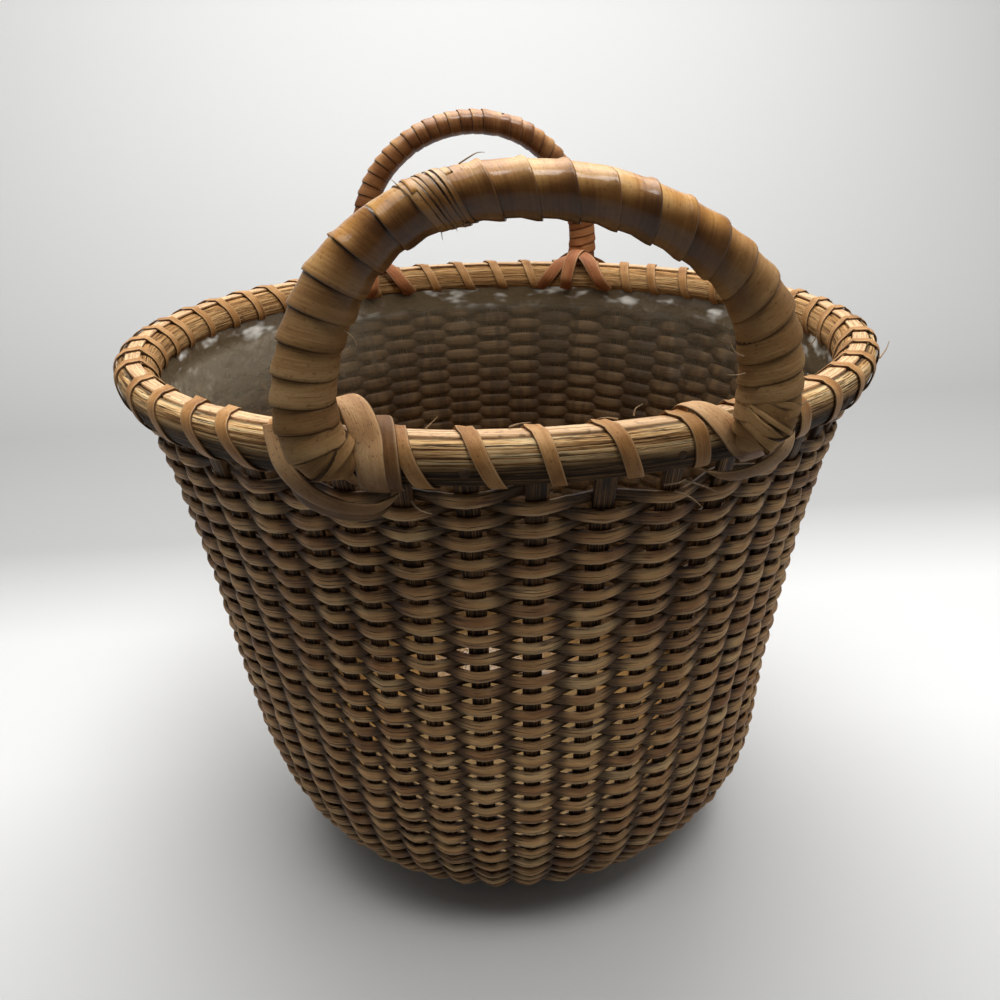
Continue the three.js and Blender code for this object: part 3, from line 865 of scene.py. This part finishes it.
tied("left_band", pale_band, (3.0, 5.6, 7.2, 7.6, 7.6, 7.4, 6.6), [
    (-23, 120.5, 213), (-21.6, 123.6, 217.4), (-20, 126.2, 217.2), (-18.7, 128.4, 214),
    (-18, 129.4, 209.6), (-17.8, 130.4, 205), (-17.8, 129.4, 199.8), (-18, 126.2, 195.8), (-18, 122, 195.4),
])
tied("left_band_under", worn_band, (4.4, 5.2, 5.4, 5.2, 4.6), [
    (-18.4, 118.4, 210.4), (-17.6, 121.8, 212.6), (-16.6, 126.2, 211.4), (-16, 129.4, 207.7),
    (-15.8, 129.9, 203), (-15.9, 128.2, 198.2), (-16, 124.6, 195.6),
], seed=4)
tied("left_sling", pale_band, (4.2, 5.0, 5.2, 5.0, 3.8, 0.5), [
    (-28.4, 131.6, 212.4), (-28, 132.3, 208.8), (-27, 133.3, 203.2), (-25.2, 133.4, 198.5),
    (-23, 132.4, 194.9), (-20.5, 130.2, 192.4), (-17.7, 128.1, 192.2), (-15.6, 125.9, 195),
], middle=(104, 202), seed=9)
tied("left_sling_under", dark_band, (2.4, 3.6, 4.0, 3.6, 0.6), [
    (-28.6, 126.4, 198.4), (-27.2, 129.6, 196.4), (-25.6, 131, 193.8), (-23.4, 130.4, 191.2),
    (-21, 129, 189.6), (-18.4, 126.8, 189.4), (-17, 124.6, 190.6),
], middle=(104, 202), seed=13)
tied("right_band", pale_band, (4.4, 6.4, 7.2, 7.4, 7.4, 7.0, 6.4), [
    (17.4, 116.6, 206.4), (17.8, 119.6, 210.8), (18.4, 123, 211.5), (19.4, 126.2, 210), (20.6, 129, 207),
    (22.2, 129.9, 203), (24, 129.5, 199.4), (25.4, 127, 196.4), (26.4, 123, 195.4),
], seed=17)
tied("right_sling", tan_band, (3.0, 4.6, 5.2, 5.0, 3.6, 0.5), [
    (28.2, 131, 206.8), (27.6, 134, 204.4), (26.4, 135.4, 200.8), (24.6, 134, 197.4),
    (22.5, 132, 195.4), (20.4, 130.2, 195.1), (18.7, 127.9, 196.2),
], middle=(108, 206), seed=29)
rust_band = binder_cane("rust_band", (124, 72, 42), (158, 98, 60), (178, 120, 78))
# three bands at each foot of the back handle, which is so many degrees from the middle of the back
for side, foot in (("left", 24.0), ("right", -24.0)):
    for k, (lean, lift) in enumerate(((1, 0), (-1, 1.1), (0.25, 2))):
        tied(f"back_{side}_band_{k + 1}", rust_band, (5.4, 6.4, 6.6, 6.4, 5.4), [
            (foot + lean * 8.5, 117 - lift * 0.4, 198.6), (foot + lean * 6.2, 115.8 - lift, 204),
            (foot + lean * 3.2, 118.6 - lift * 0.6, 210.6 + lift), (foot - lean * 0.5, 124.6, 213.2 + lift),
            (foot - lean * 4, 129.6 + lift, 208.6), (foot - lean * 6, 130.6 + lift, 203),
            (foot - lean * 8, 127.8, 197.2),
        ], straight=90.0, seed=31 + k)


# Join and loose ends. Where the two wrappings of the front handle meet, split tails of the cane are wound
# steeply over the seam; the last turns at the right foot fall over it the same way. Fibres stand out there.
tail_thickness = 0.22


def wound_over(name, finish, width, at, steep, start, stop, lift, seed):
    """A narrow strip round the front pole: at is its middle in mm along the pole, steep its rise in a turn,
    and it runs from start to stop in degrees round the pole, from the side away from the basket."""
    line, radii, _ = handles["front"]
    run = run_of(line)
    turn = np.radians(np.arange(start, stop + 1, 6))
    places = np.clip(at + steep * turn / (2 * math.pi), 0.6, run[-1] - 0.6)
    heading = ahead_on(line, places, 0.5)
    square = square_to(heading, (0.0, -1.0, 0.0))
    radial = square * np.cos(turn)[:, None] + np.cross(heading, square) * np.sin(turn)[:, None]
    from_end = np.arange(len(turn))
    ends = np.clip(np.minimum(from_end, from_end[::-1]) / 5, 0.15, 1)
    radius = np.interp(places, run, radii) + lift + 0.1 * np.sin(3 * turn + seed)
    section = oval(width * ends * (1 + 0.15 * np.sin(5 * turn + seed)), tail_thickness, 10, 4)
    # bare makes the finish paint shade: dark lines along both edges of the strip
    bare = 1.6 * (width * ends[:, None] / 2 - np.abs(section[..., 0])) + 0.1
    spine = taken(line, places) + radial * radius[:, None]
    piece = cane(name, spine, radial, section, finish, seed, bare=bare)
    keep_upper_side(piece, radial)


seam = handles["front"][2]
pole_length = run_of(handles["front"][0])[-1]
pale_tail = wrap_cane(
    "pale_tail", (148, 112, 70), (184, 144, 96), (206, 170, 122),
    (98, 62, 28), (130, 88, 44), (156, 112, 62),
    (176, 130, 76), (212, 168, 112), (236, 200, 146),
)
for i, (offset, width, steep, start, stop, lift) in enumerate((
    (-3, 2, 12, -160, 170, 0.74), (-1.4, 1.2, 13, -150, 160, 0.8), (-0.2, 1, 14, -160, 130, 0.72),
    (1, 1.5, 14, -140, 170, 0.82), (2.4, 0.9, 13, -120, 150, 0.72), (3.6, 1.3, 12, -160, 160, 0.76),
)):
    wound_over(f"join_strip_{i + 1}", pale_tail, width, seam + offset, steep, start, stop, lift, 40.0 + i)
for i, (height, width, steep, lift) in enumerate((
    (12.4, 2, -12, 0.9), (9.8, 3.4, -15, 0.95), (5.4, 4.8, -17, 1.3), (8.4, 1.5, -16, 1.3),
)):
    finish = pale_tail if i > 1 else gold_cane
    wound_over(f"foot_turn_{i + 1}", finish, width, pole_length - height, steep, -150, 150, lift, 50.0 + i)

loose_fibre = Finish("loose_fibre")
fibre_tone = loose_fibre.noise(loose_fibre.places(), (300, 300, 300), 2.0)
fibre_finish = loose_fibre.surface(fibre_tone.toned((120, 90, 60), (206, 176, 136)), 0.6)


def fibre(name, knots, thick):
    """A loose fibre through knots in mm, tapered to its free end."""
    line = smooth_line(knots, 8)
    width = thick * (1 - 0.8 * np.linspace(0, 1, len(line)))
    return cane(name, line, (0.1, -1.0, 0.3), oval(width, width * 0.7, 6, 2), fibre_finish)


# the fibres that show: their knots are (across, from the front plane, up)
front_plane = handles["front"][0][60][1]
shown_fibres = [
    ((-16.6, -2.4, 268), (-14.2, -3.3, 269.4), (-12.8, -3.4, 270), (-11.4, -3.4, 270)),
    ((-20.6, -3.4, 257.2), (-20.7, -3.6, 255.6), (-20.6, -3.6, 253.8)),
    ((-18, -3.4, 257.4), (-17.8, -3.6, 256.2), (-17.5, -3.6, 255.4)),
    ((-16.2, -3.4, 257.6), (-16, -3.6, 256.6), (-15.9, -3.6, 255.9)),
    ((-27.4, -4.6, 262.8), (-28.8, -5.6, 264.6), (-30, -5.6, 265.8)),
    ((-42.4, -3.2, 236.4), (-40.6, -3.4, 235), (-39.8, -3.4, 233.2), (-40.4, -3.4, 231.9)),
    ((-43.6, -2.6, 230.8), (-42.4, -3.2, 231.6), (-41.2, -3.2, 233)),
    ((44.6, -3.6, 226.6), (42.6, -3.8, 227.6), (41.4, -3.8, 229.4), (41.2, -3.8, 231)),
    ((45.4, -3, 222.6), (43.6, -3.4, 222.4), (41, -3.6, 222.6)),
    ((60.2, -2, 228), (61, -2.4, 229.6), (61.4, -2.6, 231.8)),
    ((60.2, -2, 214), (61.2, -2, 215), (62.2, -2.2, 214.6)),
    ((-60, -2, 224), (-60.8, -2.4, 225.4), (-61, -2.6, 227)),
]
for i, knots in enumerate(shown_fibres):
    points = [(x, front_plane + y, z) for x, y, z in knots]
    fibre(f"fibre_{i + 1:02d}", points, 0.42)
# splinters that lift from the rim and from split rows of the weave: degrees from the front, radius and height
splinters = [
    ((-12.6, 122, 210.2), (-11.9, 121.6, 211.6), (-11.2, 121.2, 213)),
    ((11, 120.6, 210.4), (11.3, 120.2, 212), (12.2, 120.2, 213)),
    ((9, 121, 210.2), (7.6, 121.4, 211), (6.4, 121.6, 211)),
    ((-3.4, 121.2, 210.2), (-2.2, 121, 210.9), (-0.9, 121, 211.1)),
    ((17, 124, 193), (19, 126.8, 191.5), (21.2, 128, 188.6)),
    ((16.2, 123, 190), (17.4, 126.4, 189), (18.6, 127.6, 186.4)),
    ((14.6, 123.4, 192.4), (15.6, 126.2, 193.6), (16.2, 127.4, 194.8)),
    ((-14.6, 123.4, 192), (-13.4, 125.6, 190.8), (-12, 126.2, 190.2)),
    ((60, 129.6, 206), (61.4, 131, 208), (62, 131.6, 210.4)),
]
for i, knots in enumerate(splinters):
    degrees, radius, height = np.array(knots).T
    points = round_at(np.radians(degrees - 90), np.stack([radius, height], axis=-1))
    fibre(f"splinter_{i + 1:02d}", points, 0.7 if i > 3 else 0.5)


# Lining. A bag of thin clear film hung inside the basket, its top edge tucked under the inner hoop. It is
# creased from folding. Its colour holds painted light: milky where it is seen at a slant and on the left, a
# painted sheen, paler high up, warm low down as a painted glow of the lit plate, dark in its gathered top
# band as painted shade under the hoop, with painted glints along that edge.
film_stand_off = 2.7  # from the inner face of the staves to the film
film_round, film_down = 480, 84
plate_thickness = 8.0
film_skin = Finish("clear_film")
at_film = film_skin.places()
creases = film_skin.noise(at_film, (70, 70, 70), 5.0, 0.6)
patches = film_skin.noise(at_film, (60, 60, 150), 2.0, 0.6)
sideways, backwards, film_height = (at_film.part(k) for k in range(3))
high_up = film_height.rising(0.14, 0.195)
not_front = backwards.rising(-0.1, -0.05)
leftward = high_up * sideways.rising(-0.03, -0.1)
folded = film_height.rising(0.187, 0.195) * not_front
off_plate = film_height.rising(0.0088, 0.0105)
gathered = film_height.rising(0.026, 0.016) * off_plate
low_down = film_height.rising(0.042, 0.025) * off_plate
corner = film_height.rising(0.017, 0.014) * film_height.rising(0.0088, 0.0092)
creased = creases.rising(0.5, 0.8) * (0.03 + 0.22 * high_up * not_front)
# opacity: more on the left, part of the painted sheen there, and in the gathered top band, which is painted
# dark
milky = 0.25 + 0.4 * leftward + creased + 0.8 * folded + 0.4 * low_down + 0.45 * gathered + corner
# painted glints on the gathered top edge and on creases high up
glints = patches.rising(0.52, 0.72) * folded + creases.rising(0.6, 0.85) * high_up * 0.5
# painted light in the film's colour: darker low in the bag and paler high up, a painted sheen on the left, a
# painted glow of the lit plate low down, painted shade in the gathered top band, and painted glints
milk_and_painted_light = high_up.toned((88, 63, 38), (140, 124, 98))
milk_and_painted_light = milk_and_painted_light.dyed((176, 164, 142), 0.7 * leftward)
milk_and_painted_light = milk_and_painted_light.dyed((170, 130, 78), low_down)
milk_and_painted_light = milk_and_painted_light.dyed((98, 82, 60), folded)
milk_and_painted_light = milk_and_painted_light.dyed((240, 236, 226), glints)
film_finish = film_skin.surface(milk_and_painted_light, 0.14, creases, 1.8, Alpha=milky)
film_line = np.concatenate([rim_point(0, -outer_hoop_height / 2 + 1.0)[None], wall_line[::-1]])
film_in = stave_thickness / 2 + film_stand_off
film_line = film_line + outwards(unit(np.gradient(film_line, axis=0))) * film_in
film_line = film_line[film_line[:, 1] > plate_thickness + 1.5]
film_floor = plate_thickness + 0.6
floor_line = [[radius, film_floor] for radius in (plate_radius - 0.5, 30.0, 0.5)]
film_line = np.concatenate([film_line, floor_line])
film_run = np.linspace(0, 1, film_down) ** 1.25 * run_of(film_line)[-1]
film_profile = taken(film_line, film_run)
film_way = outwards(unit(np.gradient(film_profile, axis=0)))
grid_round, grid_down = np.meshgrid(circle(film_round), film_run, indexing="ij")
fold_draw = np.random.default_rng(5)
crinkle = np.zeros_like(grid_round)
# long folds, and short ones near the top: how many kinds of each, the most that go round the bag, how far
# down they reach, and how big they are
for waves, most_folds, deepest, size in ((10, 34, 200.0, 0.34), (12, 70, 26.0, 0.5)):
    for _ in range(waves):
        folds, slope = fold_draw.integers(3, most_folds), fold_draw.uniform(-0.22, 0.22)
        turned = folds * grid_round + slope * grid_down + fold_draw.uniform(0, 6)
        fold = 1 - 2 * np.abs(np.sin(turned / 2)) ** 0.8
        crinkle += fold_draw.uniform(0.3, 1) * size * fold * np.clip(1.1 - grid_down / deepest, 0, 1)
over_wall = np.clip(film_profile[:, 0] / 60 - 0.9, 0, 0.5) * 2
crinkle = np.clip(crinkle, -0.1, 2.6) * over_wall
film_points = round_at(grid_round, film_profile[None] + film_way[None] * crinkle[..., None])
ring, row = np.meshgrid(np.arange(film_round), np.arange(film_down - 1), indexing="ij")
here, after = ring * film_down + row, (ring + 1) % film_round * film_down + row
film_faces = np.stack([here, after, after + 1, here + 1], axis=-1).reshape(-1, 4).tolist()
film = smooth_piece("film_bag", film_points, film_faces, film_finish)
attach(film, "root")
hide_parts("liner")


# Floor, backdrop and light. The basket stands on a pale seamless sweep under one broad soft lamp, a little
# behind it, so that the side towards the camera is in soft shade. Weak lamps lift the front and both sides.
floor_front, backdrop_top, half_sweep = -2.5, 3.0, 3.5  # in metres, as all of the sweep is
bend_start, bend_radius = 0.42, 0.6  # where the floor bends up to the backdrop
bent = [
    (bend_start + bend_radius * math.sin(turn), bend_radius * (1 - math.cos(turn)))
    for turn in np.linspace(0, math.pi / 2, 24)
]
sweep_line = np.array([(floor_front, 0.0), *bent, (bend_start + bend_radius, backdrop_top)])
sweep_points = np.array([(x, y, z) for x in (-half_sweep, half_sweep) for y, z in sweep_line])
n = len(sweep_line)
sweep_paper = Finish("sweep_paper")
back = sweep_paper.stored("back")
# painted shade on the paper: it is whitest beside the basket, greyer towards the camera, and greyer where it
# starts to rise behind it
greys = [
    (-0.3, 0.46), (-0.12, 0.6), (0.02, 0.71), (0.14, 0.69),
    (0.26, 0.43), (0.5, 0.4), (0.9, 0.62), (1.3, 0.86),
]
first_grey, spread_over = 0.3, 1.7  # how far before the middle of the basket they begin, and their length
stops = [((place + first_grey) / spread_over, (grey, grey, grey * 0.985, 1.0)) for place, grey in greys]
share = (back + first_grey) * (1 / spread_over)
paper = sweep_paper.node("ShaderNodeValToRGB", {"stops": stops}, {"Fac": share})
# it looks pale, but the room round it is dark, so it sends little light back up
in_sight = sum(sweep_paper.node("ShaderNodeLightPath", {}, {}, k) for k in (0, 3, 6))
dim = (0.18, 0.18, 0.18, 1.0)
paper = sweep_paper.node("ShaderNodeMix", {"data_type": "RGBA"}, {0: in_sight, 6: dim, 7: paper}, 2)
sweep_faces = [(i, i + 1, n + i + 1, n + i) for i in range(n - 1)]
sweep = smooth_piece("sweep", sweep_points / mm, sweep_faces, sweep_paper.surface(paper, 0.8))
# how far back each point of the sheet is from the middle of the basket, along the sheet
keep(sweep, "back", np.tile(run_of(sweep_line) + floor_front, 2))

for name, place, target, size, power in (
    ("lamp_above", (0, 0.06, 1.5), (0, 0.06, 0), 1.5, 22.4),
    ("lamp_behind", (0.08, 0.46, 1.2), (0, 0, 0.1), 1.0, 8.0),
    ("lamp_front", (0.2, -0.5, 1.3), (0, 0, 0.1), 0.4, 4.2),
    ("lamp_right", (0.9, 0, 0.45), (0, 0, 0.1), 0.8, 1.1),
    ("lamp_left", (-0.9, 0, 0.45), (0, 0, 0.1), 0.8, 0.6),
):
    lamp = bpy.data.lights.new(name, "AREA")
    lamp.shape, lamp.size, lamp.energy = "SQUARE", size, power
    holder = placed(name, lamp)
    way = np.array(target) - np.array(place)
    holder.location = place
    holder.rotation_mode = "QUATERNION"
    holder.rotation_quaternion = Vector(way).to_track_quat("-Z", "Y")

room = Finish("soft_room", bpy.data.worlds)
glow = room.node("ShaderNodeBackground", {}, {0: (1.0, 1.0, 1.0, 1.0), 1: 0.056})
room.node("ShaderNodeOutputWorld", {}, {0: glow})
bpy.context.scene.world = room.owner

camera_place = np.array([-24.7, -307.7, 276.7]) * mm
tilt, roll = math.radians(24.41), math.radians(-1.58)
level = np.array([0.0799, 0.9968, 0.0])
look = np.array([level[0] * math.cos(tilt), level[1] * math.cos(tilt), -math.sin(tilt)])
right = np.array([level[1], -level[0], 0.0])
above = np.cross(right, look)
right = right * math.cos(roll) + above * math.sin(roll)
above = np.cross(right, look)
lens = bpy.data.cameras.new("camera")
lens.lens, lens.sensor_width, lens.clip_start = 30.6, 36.0, 0.01
camera = placed("camera", lens)
axes = [[right[i], above[i], -look[i], camera_place[i]] for i in range(3)]
camera.matrix_world = Matrix([*axes, [0, 0, 0, 1]])
bpy.context.scene.camera = camera
bpy.context.scene.view_settings.view_transform = "Standard"
